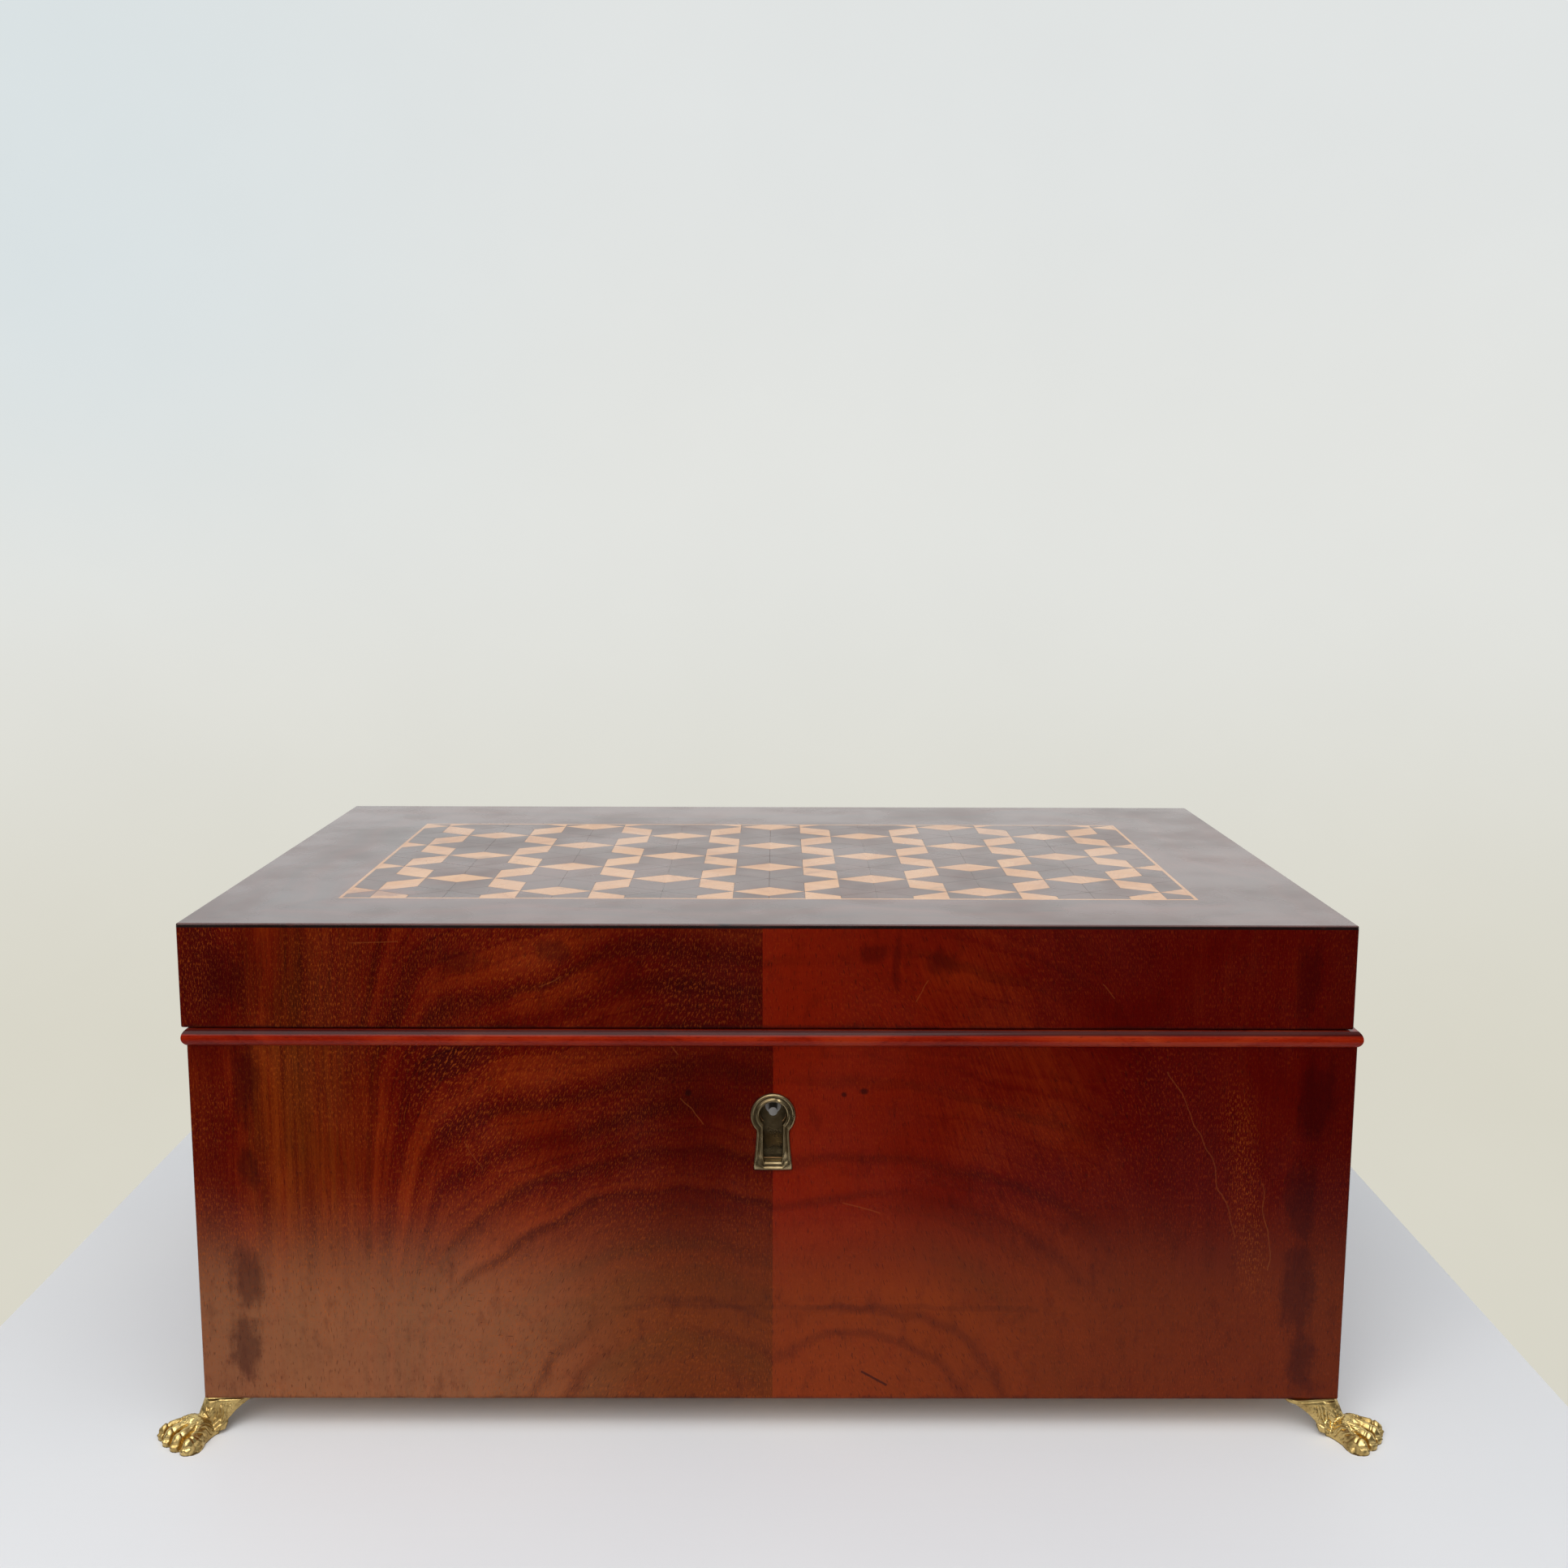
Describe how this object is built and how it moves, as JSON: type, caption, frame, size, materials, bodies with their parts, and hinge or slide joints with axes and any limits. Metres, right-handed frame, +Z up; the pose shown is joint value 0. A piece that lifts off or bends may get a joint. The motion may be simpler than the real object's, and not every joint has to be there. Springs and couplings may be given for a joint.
{
  "type": "games compendium box",
  "caption": "Wooden games compendium box on brass lion-paw feet, with a hinged lid inlaid with star parquetry, a lock and a lift-out tray.",
  "frame": {"origin": "on the surface that the box stands on, under its middle", "axes": "+X towards the right end seen from the keyhole side, -Y towards the keyhole side, +Z up"},
  "size_m": [0.357, 0.2286, 0.152],
  "materials": {
    "carcass_wood": "planed, unpolished",
    "mahogany": "polished, figured",
    "bead_wood": "polished",
    "star_wood": "polished",
    "light_wood": "polished",
    "cedar": "satin",
    "brass": "polished, dark in the recesses",
    "old_brass": "aged",
    "steel": "dull",
    "baize": "felted wool"
  },
  "bodies": {
    "box": {"carcass_front": "carcass_wood", "carcass_back": "carcass_wood", "carcass_left": "carcass_wood", "carcass_right": "carcass_wood", "bottom_board": "carcass_wood", "front_veneer_left": "mahogany", "front_veneer_right": "mahogany", "back_veneer": "mahogany", "side_veneer_left": "mahogany", "side_veneer_right": "mahogany", "bead_front": "bead_wood", "bead_back": "bead_wood", "bead_sides": "bead_wood", "escutcheon": "old_brass", "lock_plate": "old_brass", "lock_cap": "old_brass", "lock_drill_pin": "steel", "lock_spring": "steel", "lock_screws": "steel", "foot_front_left": "brass", "foot_front_right": "brass", "foot_back_left": "brass", "foot_back_right": "brass", "foot_screws": "steel", "hinge_leaves_lower": "brass", "hinge_pins": "steel", "hinge_screws_lower": "steel", "floor_lining": "baize", "base_divider_long": "cedar", "base_divider_cross": "cedar", "tray_bearers": "cedar"},
    "lid": {"hinge_leaves_upper": "brass", "hinge_screws_upper": "steel", "lid_rail_front": "carcass_wood", "lid_rail_back": "carcass_wood", "lid_rail_left": "carcass_wood", "lid_rail_right": "carcass_wood", "lid_panel": "carcass_wood", "lid_veneer_front_left": "mahogany", "lid_veneer_front_right": "mahogany", "lid_veneer_back": "mahogany", "lid_veneer_sides": "mahogany", "border_front_left": "mahogany", "border_front_right": "mahogany", "border_back": "mahogany", "border_left": "mahogany", "border_right": "mahogany", "star_rhombi": "star_wood", "light_rhombi": "light_wood", "stringing": "light_wood", "link_plate": "old_brass", "link_screws": "steel", "lid_lining": "baize"},
    "bolt": {"lock_bolt": "old_brass"},
    "tray": {"tray_sides": "cedar", "tray_ends": "cedar", "tray_floor": "cedar", "tray_dividers": "cedar", "tray_lining": "baize"}
  },
  "joints": [
    {"name": "lid_hinge", "type": "hinge", "parent": "box", "child": "lid", "pos_m": [0, 0.101, 0.12175], "axis": [-1, 0, 0], "range_deg": [0, 100]},
    {"name": "bolt_slide", "type": "slide", "parent": "box", "child": "bolt", "axis": [1, 0, 0], "range_m": [0, 0.005]},
    {"name": "tray_lift", "type": "slide", "parent": "box", "child": "tray", "axis": [0, 0, 1], "range_m": [0, 0.02]}
  ]
}
